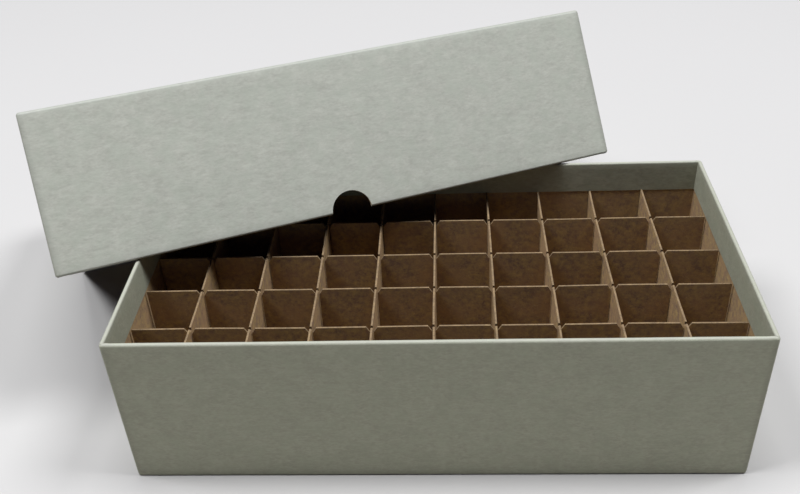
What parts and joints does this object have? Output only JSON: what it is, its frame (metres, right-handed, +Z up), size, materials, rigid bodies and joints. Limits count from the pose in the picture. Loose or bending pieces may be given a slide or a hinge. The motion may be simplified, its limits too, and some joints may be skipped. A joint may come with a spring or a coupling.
{
  "type": "cryogenic storage box",
  "caption": "Rigid paper-covered cardboard box for cryogenic tubes, with a slotted cell partition and a full-depth lift-off lid with thumb notches, resting open across the base.",
  "frame": {"origin": "centre of the base's bottom face, on the table", "axes": "+X along the base's length, towards its right end seen from the front; +Y towards the back; +Z up"},
  "size_m": [0.3515, 0.285, 0.1382],
  "materials": {
    "sage_paper": "smooth matt covering paper, pale grey-green",
    "wall_board": "raw brown chipboard",
    "divider_board": "raw brown chipboard with cut edges",
    "corner_tape": "brown kraft tape"
  },
  "bodies": {
    "base": {"base_board": "wall_board", "base_wrap": "sage_paper", "base_bottom_sheet": "sage_paper", "base_corner_stay_1": "corner_tape", "base_corner_stay_2": "corner_tape", "base_corner_stay_3": "corner_tape", "base_corner_stay_4": "corner_tape"},
    "partition": {"long_divider_1": "divider_board", "long_divider_2": "divider_board", "long_divider_3": "divider_board", "long_divider_4": "divider_board", "cross_divider_1": "divider_board", "cross_divider_2": "divider_board", "cross_divider_3": "divider_board", "cross_divider_4": "divider_board", "cross_divider_5": "divider_board", "cross_divider_6": "divider_board", "cross_divider_7": "divider_board", "cross_divider_8": "divider_board", "cross_divider_9": "divider_board"},
    "lid": {"lid_board": "wall_board", "lid_wrap": "sage_paper", "lid_corner_stay_1": "corner_tape", "lid_corner_stay_2": "corner_tape", "lid_corner_stay_3": "corner_tape", "lid_corner_stay_4": "corner_tape"}
  },
  "joints": [
    {"name": "partition_lift", "type": "slide", "parent": "base", "child": "partition", "axis": [0, 0, 1], "range_m": [0, 0.08]},
    {"name": "lid_lift", "type": "slide", "parent": "partition", "child": "lid", "axis": [0, 0, 1], "range_m": [0, 0.09]}
  ]
}
